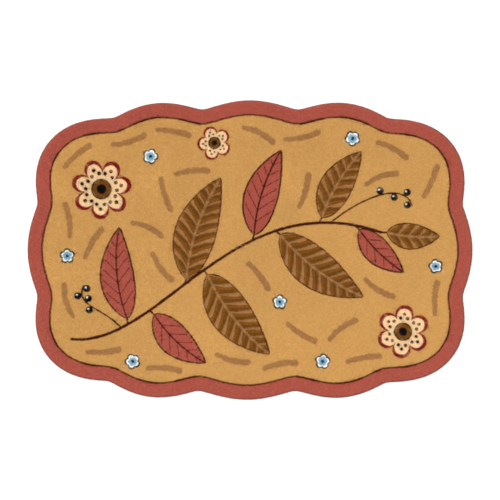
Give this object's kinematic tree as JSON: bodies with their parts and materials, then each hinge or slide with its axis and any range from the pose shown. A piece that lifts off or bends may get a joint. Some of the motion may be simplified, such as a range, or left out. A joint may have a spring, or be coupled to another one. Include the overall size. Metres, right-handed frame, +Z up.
{
  "type": "rug",
  "caption": "Plush rug with a terracotta border round a caramel field of leaves and flowers and a softly scalloped edge, lying flat",
  "frame": {"origin": "on the floor, under the middle of the rug's box; the rug rests on the plane z = 0", "axes": "+X along the rug's length, +Y across its width towards the side that is up in the picture, +Z up out of the pile"},
  "size_m": [1.5, 1.01, 0.012],
  "materials": {
    "pile": "dense short cut pile, matt, soft sheen at a grazing view"
  },
  "bodies": {
    "root": {"plush_rug": "pile"}
  },
  "joints": []
}
